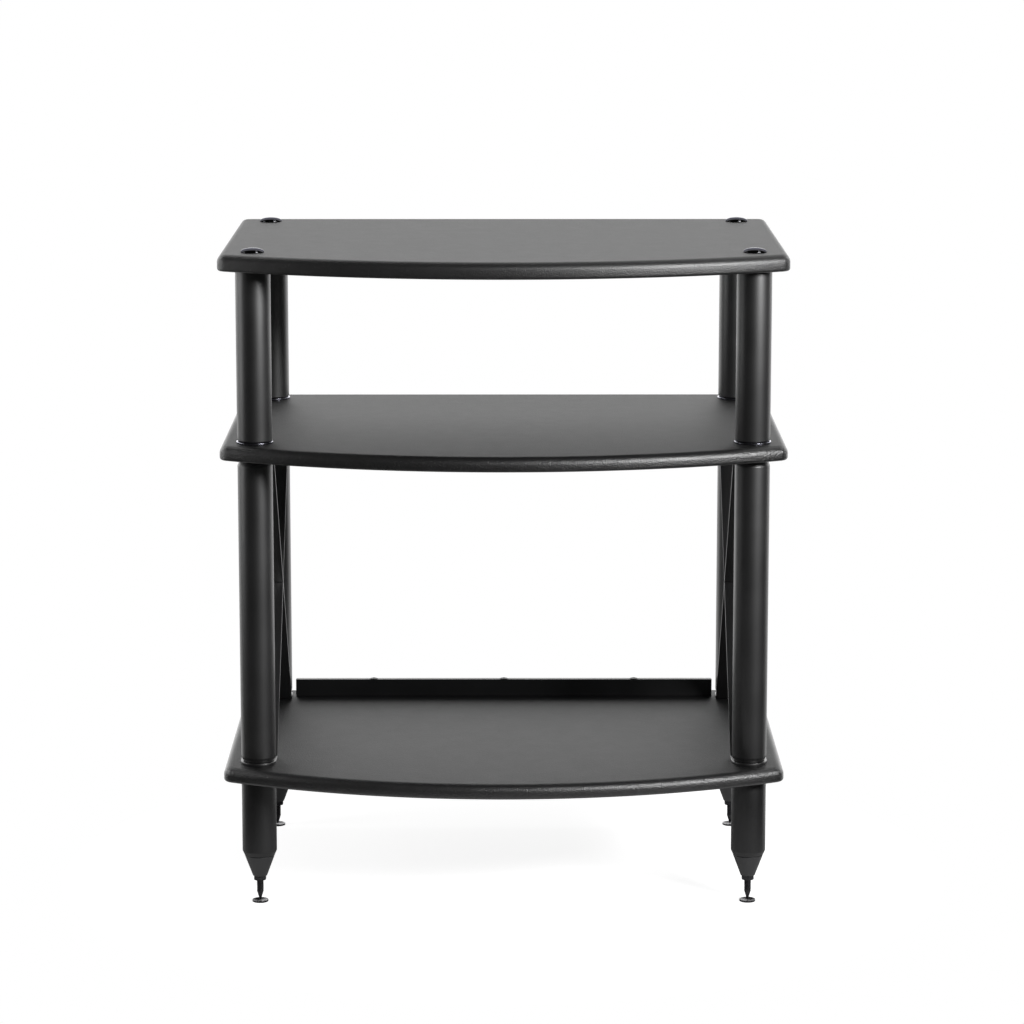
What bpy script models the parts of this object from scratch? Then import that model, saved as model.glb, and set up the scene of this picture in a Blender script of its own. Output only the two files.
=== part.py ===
"""Record player stand: three bow-fronted shelves on tubular posts, with crossed side braces and levelling spikes.

Run it with blender --background --python part.py, or from Blender's text editor.
Sizes are in metres. +Z is up, the bowed front faces -Y, and the floor is at z = 0.
"""

import math

import bmesh
import bpy
from mathutils import Vector

OBJECT_NAME = "record_player_stand"

# Gap that is left between pieces that touch
CLEARANCE = 0.0003

# Shelves, with the distances from their edges to the posts' axes
SHELF_WIDTH = 0.614
SHELF_DEPTH = 0.462
SIDE_OVERHANG = 0.037
FRONT_OVERHANG = 0.103
REAR_OVERHANG = 0.035
BOW_DEPTH = 0.078
FRONT_CORNER_RADIUS = 0.015
REAR_CORNER_RADIUS = 0.012
TOP_SHELF_THICKNESS = 0.018
LOWER_SHELF_THICKNESS = 0.016
UPPER_EDGE_RADIUS = 0.009
LOWER_EDGE_RADIUS = 0.003
SHELF_HOLE_CLEARANCE = 0.0005

# Shallow seats that the clamped pieces press into the shelves' upper skins
SEAT_DEPTH = 0.0004
SEAT_MARGIN = 0.0005
SEAT_REACH = 0.005

# Posts and legs, all cut from one tube, with a threaded plug welded into each end that takes a stud
POST_RADIUS = 0.019
POST_WALL = 0.003
UPPER_BAY_HEIGHT = 0.189
LOWER_BAY_HEIGHT = 0.341
LEG_LENGTH = 0.0877
FINE_CHAMFER = (0.001, 0.001)
DEEP_CHAMFER = (0.00225, 0.005)
RING_LIP = 0.0010
RING_THICKNESS = 0.002
RING_EDGE = 0.0006

# Threaded hardware
STUD_RADIUS = 0.004
PLUG_LENGTH = 0.016
STUD_CHAMFER = 0.0008
STUD_END_GAP = 0.002
DOME_RADIUS = 0.0125
DOME_HEIGHT = 0.005
DOME_RIM = 0.0010

# Crossed braces, bent from flat strip whose rounded ends are clamped under and over the lower posts
BRACE_LIP = 0.0005
BRACE_THICKNESS = 0.003
BRACE_BEND_RADIUS = 0.004
BRACE_TRIM = 0.004

# Levelling feet
CONE_HEIGHT = 0.024
CONE_BOTTOM_RADIUS = 0.0078
CONE_CHAMFER = 0.0006
CONE_SPIGOT_LENGTH = 0.018
CONE_SPIGOT_CHAMFER = 0.001
SPIKE_LENGTH = 0.059
SPIKE_EXPOSED = 0.0284
SPIKE_TAPER = 0.0109
SPIKE_TIP_RADIUS = 0.0005
JAM_NUT_WIDTH = 0.013
JAM_NUT_THICKNESS = 0.0045
JAM_NUT_CHAMFER = 0.0008
DISC_RADIUS = 0.0089
DISC_THICKNESS = 0.0021
DISC_RIM = 0.0012
DISC_FLOOR = 0.0010
DISC_FLOOR_RADIUS = 0.0060
DISC_CHAMFER = 0.0004

# Record stop along the back of the bottom shelf
STOP_HEIGHT = 0.0205
STOP_THICKNESS = 0.008
STOP_END_GAP = 0.0047
STOP_EDGE = 0.0006
STOP_SCREW_COUNT = 3
STOP_SCREW_INSET = 0.0923
STOP_SCREW_RADIUS = 0.002
STOP_SCREW_HEAD_RADIUS = 0.0048
STOP_SCREW_HEAD_HEIGHT = 0.0008
STOP_SCREW_GRIP = 0.010

# Numbers of sides and steps
POST_SIDES = 24
FOOT_SIDES = 20
THREAD_SIDES = 16
SCREW_SIDES = 12
BOW_STEPS = 28
CORNER_STEPS = 5
DOME_STEPS = 6
BEND_STEPS = 4
UPPER_EDGE_STEPS = 4
LOWER_EDGE_STEPS = 2
SHARP_ANGLE = math.radians(35.0)

# Places and radii that follow from the sizes above
FRONT_Y = -SHELF_DEPTH / 2
BACK_Y = SHELF_DEPTH / 2
BOW_RADIUS = ((SHELF_WIDTH / 2) ** 2 + BOW_DEPTH**2) / (2 * BOW_DEPTH)
FRONT_POST_Y = FRONT_Y + FRONT_OVERHANG
REAR_POST_Y = BACK_Y - REAR_OVERHANG
POST_SPACING_Y = REAR_POST_Y - FRONT_POST_Y
POST_MIDDLE_Y = (FRONT_POST_Y + REAR_POST_Y) / 2
POST_SPACING_X = SHELF_WIDTH - 2 * SIDE_OVERHANG
POST_X = POST_SPACING_X / 2
TUBE_BORE_RADIUS = POST_RADIUS - POST_WALL
RING_RADIUS = POST_RADIUS + RING_LIP
BRACE_WIDTH = 2 * (POST_RADIUS + BRACE_LIP)
CONE_TOP_RADIUS = POST_RADIUS - DEEP_CHAMFER[0]
SPIGOT_RADIUS = TUBE_BORE_RADIUS - CLEARANCE
STOP_LENGTH = POST_SPACING_X - 2 * (POST_RADIUS + STOP_END_GAP)
STOP_SCREW_SPACING = (STOP_LENGTH - 2 * STOP_SCREW_INSET) / (STOP_SCREW_COUNT - 1)
THREAD_BORE_RADIUS = STUD_RADIUS + CLEARANCE
SHELF_HOLE_RADIUS = STUD_RADIUS + SHELF_HOLE_CLEARANCE

# Heights, stacked up from the floor
SPIKE_TIP_Z = DISC_FLOOR + CLEARANCE
CONE_Z = SPIKE_TIP_Z + SPIKE_EXPOSED
JAM_NUT_Z = CONE_Z - CLEARANCE - JAM_NUT_THICKNESS
LEG_Z = CONE_Z + CONE_HEIGHT + CLEARANCE
BOTTOM_SHELF_Z = LEG_Z + LEG_LENGTH + CLEARANCE
BOTTOM_SHELF_TOP_Z = BOTTOM_SHELF_Z + LOWER_SHELF_THICKNESS
MIDDLE_SHELF_Z = BOTTOM_SHELF_TOP_Z + LOWER_BAY_HEIGHT
MIDDLE_SHELF_TOP_Z = MIDDLE_SHELF_Z + LOWER_SHELF_THICKNESS
TOP_SHELF_Z = MIDDLE_SHELF_TOP_Z + UPPER_BAY_HEIGHT
TOP_SHELF_TOP_Z = TOP_SHELF_Z + TOP_SHELF_THICKNESS
BRACE_STACK = BRACE_THICKNESS + 2 * CLEARANCE
RING_STACK = RING_THICKNESS + 2 * CLEARANCE
BOTTOM_SEAT_Z = BOTTOM_SHELF_TOP_Z - SEAT_DEPTH
MIDDLE_SEAT_Z = MIDDLE_SHELF_TOP_Z - SEAT_DEPTH
TOP_SEAT_Z = TOP_SHELF_TOP_Z - SEAT_DEPTH
LOWER_POST_Z = BOTTOM_SEAT_Z + BRACE_STACK
LOWER_POST_LENGTH = MIDDLE_SHELF_Z - BRACE_STACK - LOWER_POST_Z
UPPER_POST_Z = MIDDLE_SEAT_Z + RING_STACK
UPPER_POST_LENGTH = TOP_SHELF_Z - CLEARANCE - UPPER_POST_Z

CORNERS = {
    "front_left": (-POST_X, FRONT_POST_Y),
    "front_right": (POST_X, FRONT_POST_Y),
    "rear_left": (-POST_X, REAR_POST_Y),
    "rear_right": (POST_X, REAR_POST_Y),
}

# Finish of each kind of piece: colour, roughness and metallic value
FINISHES = {
    "black_laminate": ((0.022, 0.022, 0.023), 0.50, 0.0),
    "satin_black_tube": ((0.018, 0.018, 0.020), 0.38, 0.0),
    "polished_ring": ((0.75, 0.75, 0.78), 0.12, 1.0),
    "gloss_black_bolt": ((0.010, 0.010, 0.011), 0.08, 0.0),
    "black_strip": ((0.014, 0.014, 0.015), 0.35, 0.0),
    "black_cone": ((0.020, 0.020, 0.022), 0.42, 0.0),
    "blackened_steel": ((0.030, 0.030, 0.032), 0.35, 0.8),
    "zinc_hardware": ((0.55, 0.55, 0.57), 0.35, 1.0),
    "black_stop": ((0.012, 0.012, 0.014), 0.40, 0.0),
}


def clear_scene() -> None:
    """Remove every object that the scene starts with."""
    for item in list(bpy.context.scene.objects):
        bpy.data.objects.remove(item, do_unlink=True)


def new_collection(name: str) -> bpy.types.Collection:
    """Make a collection in the scene."""
    collection = bpy.data.collections.new(name)
    bpy.context.scene.collection.children.link(collection)
    return collection


def finish(name: str) -> bpy.types.Material:
    """Return the named finish, making its material the first time."""
    material = bpy.data.materials.get(name)
    if material is None:
        colour, roughness, metallic = FINISHES[name]
        material = bpy.data.materials.new(name)
        material.use_nodes = True
        shader = material.node_tree.nodes["Principled BSDF"]
        shader.inputs["Base Color"].default_value = (*colour, 1.0)
        shader.inputs["Roughness"].default_value = roughness
        shader.inputs["Metallic"].default_value = metallic
    return material


class Workshop:
    """Holds the two collections and adds pieces and cutters to them."""

    def __init__(self) -> None:
        """Make the collections."""
        self.parts = new_collection(OBJECT_NAME)
        self.cutters = new_collection("cutters")

    def add_piece(self, name: str, mesh: bpy.types.Mesh, location: tuple, finish_name: str) -> bpy.types.Object:
        """Add a named piece of the stand."""
        piece = bpy.data.objects.new(name, mesh)
        piece.location = location
        if not mesh.materials:
            mesh.materials.append(finish(finish_name))
        self.parts.objects.link(piece)
        return piece

    def add_cutter(self, name: str, mesh: bpy.types.Mesh, location: tuple) -> bpy.types.Object:
        """Add a hidden shape that cuts a piece."""
        cutter = bpy.data.objects.new(name, mesh)
        cutter.location = location
        cutter.display_type = "WIRE"
        cutter.hide_render = True
        self.cutters.objects.link(cutter)
        return cutter


def mesh_from(bm: bmesh.types.BMesh, name: str) -> bpy.types.Mesh:
    """Turn a bmesh into smooth shaded mesh data with sharp edges kept."""
    mesh = bpy.data.meshes.new(name)
    bm.to_mesh(mesh)
    bm.free()
    mesh.shade_smooth()
    mesh.set_sharp_from_angle(angle=SHARP_ANGLE)
    return mesh


def profile_mesh(name: str, points: list, closed: bool) -> bpy.types.Mesh:
    """Make the line of a turned profile from (radius, height) points that run down the outer side."""
    bm = bmesh.new()
    verts = [bm.verts.new((radius, 0.0, height)) for radius, height in points]
    for start, end in zip(verts, verts[1:]):
        bm.edges.new((start, end))
    if closed:
        bm.edges.new((verts[-1], verts[0]))
    mesh = bpy.data.meshes.new(name)
    bm.to_mesh(mesh)
    bm.free()
    return mesh


def turn(piece: bpy.types.Object, sides: int) -> None:
    """Turn a piece's profile about its own Z axis."""
    screw = piece.modifiers.new("turned", "SCREW")
    screw.axis = "Z"
    screw.steps = sides
    screw.render_steps = sides
    screw.use_merge_vertices = True
    screw.merge_threshold = 0.00002
    screw.use_smooth_shade = True


def repeat(piece: bpy.types.Object, label: str, count: int, step: tuple) -> None:
    """Repeat a piece as separate solids, one step apart."""
    array = piece.modifiers.new(label, "ARRAY")
    array.count = count
    array.use_relative_offset = False
    array.use_constant_offset = True
    array.constant_offset_displace = step


def repeat_at_posts(piece: bpy.types.Object) -> None:
    """Repeat a piece that stands at the front left post at all four posts."""
    repeat(piece, "across", 2, (POST_SPACING_X, 0.0, 0.0))
    repeat(piece, "front to back", 2, (0.0, POST_SPACING_Y, 0.0))


def cut(piece: bpy.types.Object, cutter: bpy.types.Object, operation: str = "DIFFERENCE") -> None:
    """Cut, join or intersect a piece with another shape."""
    boolean = piece.modifiers.new(cutter.name, "BOOLEAN")
    boolean.operation = operation
    boolean.solver = "EXACT"
    boolean.object = cutter


def cylinder_mesh(name: str, radius: float, low: float, high: float, sides: int) -> bpy.types.Mesh:
    """Make an upright cylinder between two heights."""
    bm = bmesh.new()
    bmesh.ops.create_cone(bm, cap_ends=True, segments=sides, radius1=radius, radius2=radius, depth=high - low)
    bmesh.ops.translate(bm, verts=bm.verts, vec=(0.0, 0.0, (low + high) / 2))
    return mesh_from(bm, name)


def box_mesh(name: str, size: tuple) -> bpy.types.Mesh:
    """Make a box about its own centre."""
    bm = bmesh.new()
    bmesh.ops.create_cube(bm, size=1.0)
    bmesh.ops.scale(bm, verts=bm.verts, vec=size)
    return mesh_from(bm, name)


def arc(centre: tuple, radius: float, start: float, end: float, steps: int) -> list:
    """Return points along an arc, with its last point left to the next arc."""
    points = []
    for index in range(steps):
        angle = start + (end - start) * index / steps
        points.append((centre[0] + radius * math.cos(angle), centre[1] + radius * math.sin(angle)))
    return points


def shelf_outline() -> list:
    """Return the outline of a shelf: straight sides and back, rounded corners and a bowed front."""
    half = SHELF_WIDTH / 2
    bow_y = FRONT_Y + BOW_RADIUS
    fillet_x = half - FRONT_CORNER_RADIUS
    reach = BOW_RADIUS - FRONT_CORNER_RADIUS
    fillet_y = bow_y - math.sqrt(reach**2 - fillet_x**2)
    spread = math.asin(fillet_x / reach)
    rear_x = half - REAR_CORNER_RADIUS
    rear_y = BACK_Y - REAR_CORNER_RADIUS
    down = 1.5 * math.pi
    outline = arc((rear_x, rear_y), REAR_CORNER_RADIUS, 0.0, 0.5 * math.pi, CORNER_STEPS)
    outline.append((rear_x, BACK_Y))
    outline += arc((-rear_x, rear_y), REAR_CORNER_RADIUS, 0.5 * math.pi, math.pi, CORNER_STEPS)
    outline.append((-half, rear_y))
    outline += arc((-fillet_x, fillet_y), FRONT_CORNER_RADIUS, math.pi, down - spread, CORNER_STEPS)
    outline += arc((0.0, bow_y), BOW_RADIUS, down - spread, down + spread, BOW_STEPS)
    outline += arc((fillet_x, fillet_y), FRONT_CORNER_RADIUS, down + spread, 2 * math.pi, CORNER_STEPS)
    outline.append((half, fillet_y))
    return outline


def extruded_outline(name: str, outline: list, thickness: float) -> bmesh.types.BMesh:
    """Fill a flat outline and extrude it upward from z = 0, as one closed body."""
    curve = bpy.data.curves.new(name, "CURVE")
    curve.dimensions = "2D"
    curve.fill_mode = "BOTH"
    curve.extrude = thickness / 2
    spline = curve.splines.new("POLY")
    spline.points.add(len(outline) - 1)
    for point, (x, y) in zip(spline.points, outline):
        point.co = (x, y, 0.0, 1.0)
    spline.use_cyclic_u = True
    holder = bpy.data.objects.new(name, curve)
    bpy.context.scene.collection.objects.link(holder)
    evaluated = holder.evaluated_get(bpy.context.evaluated_depsgraph_get())
    flat = bpy.data.meshes.new_from_object(evaluated)
    bm = bmesh.new()
    bm.from_mesh(flat)
    bpy.data.meshes.remove(flat)
    bpy.data.objects.remove(holder, do_unlink=True)
    bpy.data.curves.remove(curve)
    bmesh.ops.remove_doubles(bm, verts=bm.verts, dist=0.00001)
    bmesh.ops.translate(bm, verts=bm.verts, vec=(0.0, 0.0, thickness / 2))
    bmesh.ops.dissolve_limit(bm, angle_limit=0.001, verts=bm.verts, edges=bm.edges)
    bmesh.ops.recalc_face_normals(bm, faces=bm.faces)
    return bm


def round_rim(bm: bmesh.types.BMesh, height: float, radius: float, steps: int) -> None:
    """Round the rim edges that lie at one height."""
    level = [edge for edge in bm.edges if all(abs(vert.co.z - height) < 0.00001 for vert in edge.verts)]
    rim = [edge for edge in level if edge.calc_face_angle(0.0) > SHARP_ANGLE]
    bmesh.ops.bevel(bm, geom=rim, offset=radius, segments=steps, profile=0.5, affect="EDGES", clamp_overlap=True)


def shelf_mesh(name: str, thickness: float) -> bpy.types.Mesh:
    """Make a shelf panel with a full round on its upper rim and a small one below."""
    bm = extruded_outline(name, shelf_outline(), thickness)
    round_rim(bm, thickness, UPPER_EDGE_RADIUS, UPPER_EDGE_STEPS)
    round_rim(bm, 0.0, LOWER_EDGE_RADIUS, LOWER_EDGE_STEPS)
    return mesh_from(bm, name)


def cut_round_seats(shop: Workshop, shelf: bpy.types.Object, radius: float, floor_z: float) -> None:
    """Cut a shallow round seat into a shelf's upper face on each post's axis."""
    name = f"{shelf.name}_seats"
    mesh = cylinder_mesh(name, radius + SEAT_MARGIN, 0.0, 2 * SEAT_DEPTH, POST_SIDES)
    cutter = shop.add_cutter(name, mesh, (-POST_X, FRONT_POST_Y, floor_z))
    repeat_at_posts(cutter)
    cut(shelf, cutter)


def cut_side_seats(shop: Workshop, shelf: bpy.types.Object) -> None:
    """Carry the seats under the braces' tabs on to where each strip has risen clear of the shelf."""
    name = f"{shelf.name}_side_seats"
    reach = POST_RADIUS + SEAT_REACH
    mesh = box_mesh(name, (BRACE_WIDTH + 2 * SEAT_MARGIN, reach, 2 * SEAT_DEPTH))
    cutter = shop.add_cutter(name, mesh, (-POST_X, FRONT_POST_Y + reach / 2, BOTTOM_SEAT_Z + SEAT_DEPTH))
    repeat(cutter, "across", 2, (POST_SPACING_X, 0.0, 0.0))
    repeat(cutter, "front to back", 2, (0.0, POST_SPACING_Y - reach, 0.0))
    cut(shelf, cutter)


def cut_stop_seat(shop: Workshop, shelf: bpy.types.Object) -> None:
    """Cut the shallow seat of the record stop."""
    name = f"{shelf.name}_stop_seat"
    mesh = box_mesh(name, (STOP_LENGTH + 2 * SEAT_MARGIN, STOP_THICKNESS + 2 * SEAT_MARGIN, 2 * SEAT_DEPTH))
    cut(shelf, shop.add_cutter(name, mesh, (0.0, REAR_POST_Y, BOTTOM_SEAT_Z + SEAT_DEPTH)))


def add_shelf(shop: Workshop, name: str, height: float, thickness: float) -> bpy.types.Object:
    """Add a shelf with a clearance hole on each post's axis."""
    shelf = shop.add_piece(name, shelf_mesh(name, thickness), (0.0, 0.0, height), "black_laminate")
    hole = cylinder_mesh(f"{name}_hole", SHELF_HOLE_RADIUS, -thickness, 2 * thickness, THREAD_SIDES)
    cutter = shop.add_cutter(f"{name}_holes", hole, (-POST_X, FRONT_POST_Y, height))
    repeat_at_posts(cutter)
    cut(shelf, cutter)
    return shelf


def add_shelves(shop: Workshop) -> None:
    """Add the three shelves, the lowest with blind holes for the record stop's screws."""
    top = add_shelf(shop, "top_shelf", TOP_SHELF_Z, TOP_SHELF_THICKNESS)
    cut_round_seats(shop, top, DOME_RADIUS, TOP_SEAT_Z)
    middle = add_shelf(shop, "middle_shelf", MIDDLE_SHELF_Z, LOWER_SHELF_THICKNESS)
    cut_round_seats(shop, middle, RING_RADIUS, MIDDLE_SEAT_Z)
    bottom = add_shelf(shop, "bottom_shelf", BOTTOM_SHELF_Z, LOWER_SHELF_THICKNESS)
    cut_round_seats(shop, bottom, BRACE_WIDTH / 2, BOTTOM_SEAT_Z)
    cut_side_seats(shop, bottom)
    cut_stop_seat(shop, bottom)
    cut(bottom, stop_screw_cutter(shop, "stop_screw_holes"))


def outer_wall(length: float, foot: tuple, head: tuple) -> list:
    """Return the outside of a tube from top to bottom, its end chamfers given as (radial, axial)."""
    return [
        (POST_RADIUS - head[0], length),
        (POST_RADIUS, length - head[1]),
        (POST_RADIUS, foot[1]),
        (POST_RADIUS - foot[0], 0.0),
    ]


def head_plug(length: float) -> list:
    """Return the inside of a tube's head from the tube's wall up, where the threaded plug is welded in."""
    return [
        (TUBE_BORE_RADIUS, length - PLUG_LENGTH),
        (THREAD_BORE_RADIUS, length - PLUG_LENGTH),
        (THREAD_BORE_RADIUS, length),
    ]


def post_profile(length: float, foot: tuple, head: tuple) -> list:
    """Return the section of a post with a threaded plug in both ends."""
    foot_plug = [(THREAD_BORE_RADIUS, 0.0), (THREAD_BORE_RADIUS, PLUG_LENGTH), (TUBE_BORE_RADIUS, PLUG_LENGTH)]
    return outer_wall(length, foot, head) + foot_plug + head_plug(length)


def leg_profile() -> list:
    """Return the section of a leg, open at the foot for the cone and plugged at the head."""
    return outer_wall(LEG_LENGTH, DEEP_CHAMFER, FINE_CHAMFER) + [(TUBE_BORE_RADIUS, 0.0)] + head_plug(LEG_LENGTH)


def add_at_posts(shop: Workshop, label: str, mesh: bpy.types.Mesh, height: float, finish_name: str, sides: int) -> None:
    """Add one turned piece on each post's axis, all from one profile."""
    for corner, (x, y) in CORNERS.items():
        turn(shop.add_piece(f"{label}_{corner}", mesh, (x, y, height), finish_name), sides)


def add_tubes(shop: Workshop) -> None:
    """Add the legs, the lower posts and the upper posts."""
    leg = profile_mesh("leg", leg_profile(), closed=True)
    lower = profile_mesh("lower_post", post_profile(LOWER_POST_LENGTH, DEEP_CHAMFER, DEEP_CHAMFER), closed=True)
    upper = profile_mesh("upper_post", post_profile(UPPER_POST_LENGTH, FINE_CHAMFER, FINE_CHAMFER), closed=True)
    add_at_posts(shop, "leg", leg, LEG_Z, "satin_black_tube", POST_SIDES)
    add_at_posts(shop, "lower_post", lower, LOWER_POST_Z, "satin_black_tube", POST_SIDES)
    add_at_posts(shop, "upper_post", upper, UPPER_POST_Z, "satin_black_tube", POST_SIDES)


def ring_profile() -> list:
    """Return the section of the flat ring under an upper post, with its outer edges eased."""
    return [
        (RING_RADIUS - RING_EDGE, RING_THICKNESS),
        (RING_RADIUS, RING_THICKNESS - RING_EDGE),
        (RING_RADIUS, RING_EDGE),
        (RING_RADIUS - RING_EDGE, 0.0),
        (SHELF_HOLE_RADIUS, 0.0),
        (SHELF_HOLE_RADIUS, RING_THICKNESS),
    ]


def add_post_rings(shop: Workshop) -> None:
    """Add the polished ring under each upper post."""
    mesh = profile_mesh("post_ring", ring_profile(), closed=True)
    add_at_posts(shop, "post_ring", mesh, MIDDLE_SEAT_Z + CLEARANCE, "polished_ring", POST_SIDES)


def rod_profile(length: float) -> list:
    """Return the half section of a threaded rod with chamfered ends."""
    return [
        (0.0, length),
        (STUD_RADIUS - STUD_CHAMFER, length),
        (STUD_RADIUS, length - STUD_CHAMFER),
        (STUD_RADIUS, STUD_CHAMFER),
        (STUD_RADIUS - STUD_CHAMFER, 0.0),
        (0.0, 0.0),
    ]


def add_studs(shop: Workshop, label: str, low_face: float, high_face: float) -> None:
    """Add the threaded studs that join the plugs below and above a shelf.

    Args:
        shop: Where the pieces go.
        label: First part of the studs' names.
        low_face: Height of the upper end of the tubes below the shelf.
        high_face: Height of the lower end of the tubes above the shelf.
    """
    engagement = PLUG_LENGTH - STUD_END_GAP
    length = high_face - low_face + 2 * engagement
    mesh = profile_mesh(label, rod_profile(length), closed=False)
    add_at_posts(shop, label, mesh, low_face - engagement, "zinc_hardware", THREAD_SIDES)


def dome_points(radius: float, height: float, base: float) -> list:
    """Return points down the outline of a flattened dome, from its crown to its upright rim."""
    points = []
    for index in range(DOME_STEPS + 1):
        angle = 0.5 * math.pi * index / DOME_STEPS
        points.append((radius * math.sin(angle), base + height * math.cos(angle)))
    return points


def add_dome_bolts(shop: Workshop) -> None:
    """Add the dome headed bolts that clamp the top shelf to the upper posts."""
    reach = TOP_SHELF_THICKNESS - SEAT_DEPTH + 2 * CLEARANCE + PLUG_LENGTH - STUD_END_GAP
    profile = dome_points(DOME_RADIUS, DOME_HEIGHT - DOME_RIM, DOME_RIM)
    profile += [(DOME_RADIUS, 0.0), (STUD_RADIUS, 0.0), (STUD_RADIUS, -reach), (0.0, -reach)]
    mesh = profile_mesh("dome_bolt", profile, closed=False)
    add_at_posts(shop, "dome_bolt", mesh, TOP_SEAT_Z + CLEARANCE, "gloss_black_bolt", FOOT_SIDES)


def brace_half_span() -> tuple:
    """Return half the run and half the rise of a brace between the middles of its two end tabs."""
    run = POST_SPACING_Y / 2
    rise = (MIDDLE_SHELF_Z - BOTTOM_SEAT_Z - BRACE_THICKNESS) / 2 - CLEARANCE
    return run, rise


def brace_slope() -> float:
    """Return the angle of a brace's sloping length above the shelf."""
    run, rise = brace_half_span()
    return math.atan2(rise, run - POST_RADIUS)


def brace_path() -> list:
    """Return the middle line of a brace about its crossing, from past its low tab to past its high tab."""
    run, rise = brace_half_span()
    slope = brace_slope()
    start = run - POST_RADIUS + BRACE_BEND_RADIUS * math.tan(slope / 2)
    low = [(-run - BRACE_WIDTH / 2 - BRACE_TRIM, -rise)]
    for index in range(BEND_STEPS + 1):
        angle = slope * index / BEND_STEPS
        along = -start + BRACE_BEND_RADIUS * math.sin(angle)
        low.append((along, -rise + BRACE_BEND_RADIUS * (1 - math.cos(angle))))
    high = [(-along, -up) for along, up in reversed(low)]
    return low + high


def brace_strip_mesh(name: str, lean: int) -> bpy.types.Mesh:
    """Make the bent strip as a ribbon a little wider than the brace, leaning back (1) or forward (-1)."""
    width = BRACE_WIDTH + 2 * BRACE_TRIM
    bm = bmesh.new()
    verts = [bm.verts.new((-width / 2, lean * along, up)) for along, up in brace_path()]
    edges = [bm.edges.new(pair) for pair in zip(verts, verts[1:])]
    swept = bmesh.ops.extrude_edge_only(bm, edges=edges)
    moved = [item for item in swept["geom"] if isinstance(item, bmesh.types.BMVert)]
    bmesh.ops.translate(bm, verts=moved, vec=(width, 0.0, 0.0))
    return mesh_from(bm, name)


def brace_outline_mesh(name: str) -> bpy.types.Mesh:
    """Make the upright shape whose outline, straight with round ends, a brace has when seen from above."""
    run, rise = brace_half_span()
    radius = BRACE_WIDTH / 2
    half_turn = POST_SIDES // 2
    outline = arc((0.0, run), radius, 0.0, math.pi, half_turn) + [(-radius, run)]
    outline += arc((0.0, -run), radius, math.pi, 2 * math.pi, half_turn) + [(radius, -run)]
    height = 2 * (rise + BRACE_THICKNESS)
    bm = extruded_outline(name, outline, height)
    bmesh.ops.translate(bm, verts=bm.verts, vec=(0.0, 0.0, -height / 2))
    return mesh_from(bm, name)


def brace_hole_cutter(shop: Workshop, name: str, centre: Vector, lean: int) -> bpy.types.Object:
    """Add the holes that the studs pass through, in both end tabs of a brace."""
    run, rise = brace_half_span()
    mesh = cylinder_mesh(name, SHELF_HOLE_RADIUS, -BRACE_THICKNESS, BRACE_THICKNESS, THREAD_SIDES)
    cutter = shop.add_cutter(name, mesh, centre + Vector((0.0, -lean * run, -rise)))
    repeat(cutter, "both ends", 2, (0.0, 2 * lean * run, 2 * rise))
    return cutter


def brace_slot_cutter(shop: Workshop, name: str, centre: Vector, lean: int, opening: int) -> bpy.types.Object:
    """Add the slot that takes the crossing strip, half a strip deep and open toward -X (-1) or +X (1)."""
    size = (BRACE_WIDTH, 2 * BRACE_WIDTH, BRACE_THICKNESS + 2 * CLEARANCE)
    offset = Vector((opening * (BRACE_WIDTH - CLEARANCE) / 2, 0.0, 0.0))
    cutter = shop.add_cutter(name, box_mesh(name, size), centre + offset)
    cutter.rotation_euler = (-lean * brace_slope(), 0.0, 0.0)
    return cutter


def add_brace(shop: Workshop, name: str, side: int, lean: int) -> None:
    """Add one brace: a bent strip with round bored ends, half slotted where it crosses the other.

    Args:
        shop: Where the pieces go.
        name: Name of the strip.
        side: -1 for the left side of the stand and 1 for the right.
        lean: 1 for the strip that rises toward the back, and -1 for the one that rises toward the front.
    """
    height = (BOTTOM_SEAT_Z + MIDDLE_SHELF_Z) / 2
    centre = Vector((side * POST_X, POST_MIDDLE_Y, height))
    strip = shop.add_piece(name, brace_strip_mesh(name, lean), centre, "black_strip")
    shell = strip.modifiers.new("thickness", "SOLIDIFY")
    shell.thickness = BRACE_THICKNESS
    shell.offset = 0.0
    shell.use_even_offset = True
    cut(strip, shop.add_cutter(f"{name}_outline", brace_outline_mesh(name), centre), "INTERSECT")
    cut(strip, brace_hole_cutter(shop, f"{name}_holes", centre, lean))
    cut(strip, brace_slot_cutter(shop, f"{name}_slot", centre, lean, -side * lean))


def add_braces(shop: Workshop) -> None:
    """Add two crossed strips on each side, between the lower posts."""
    for side, side_name in ((-1, "left"), (1, "right")):
        add_brace(shop, f"{side_name}_brace_rising_back", side, 1)
        add_brace(shop, f"{side_name}_brace_rising_front", side, -1)


def cone_profile() -> list:
    """Return the section of the cone that closes a leg, with its spigot and threaded bore."""
    top = CONE_HEIGHT + CONE_SPIGOT_LENGTH
    return [
        (SPIGOT_RADIUS - CONE_SPIGOT_CHAMFER, top),
        (SPIGOT_RADIUS, top - CONE_SPIGOT_CHAMFER),
        (SPIGOT_RADIUS, CONE_HEIGHT),
        (CONE_TOP_RADIUS, CONE_HEIGHT),
        (CONE_BOTTOM_RADIUS, CONE_CHAMFER),
        (CONE_BOTTOM_RADIUS - CONE_CHAMFER, 0.0),
        (THREAD_BORE_RADIUS, 0.0),
        (THREAD_BORE_RADIUS, top),
    ]


def spike_profile() -> list:
    """Return the half section of a pointed levelling stud, with its tip at z = 0."""
    return [
        (0.0, SPIKE_LENGTH),
        (STUD_RADIUS - STUD_CHAMFER, SPIKE_LENGTH),
        (STUD_RADIUS, SPIKE_LENGTH - STUD_CHAMFER),
        (STUD_RADIUS, SPIKE_TAPER),
        (SPIKE_TIP_RADIUS, 0.0),
        (0.0, 0.0),
    ]


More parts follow.
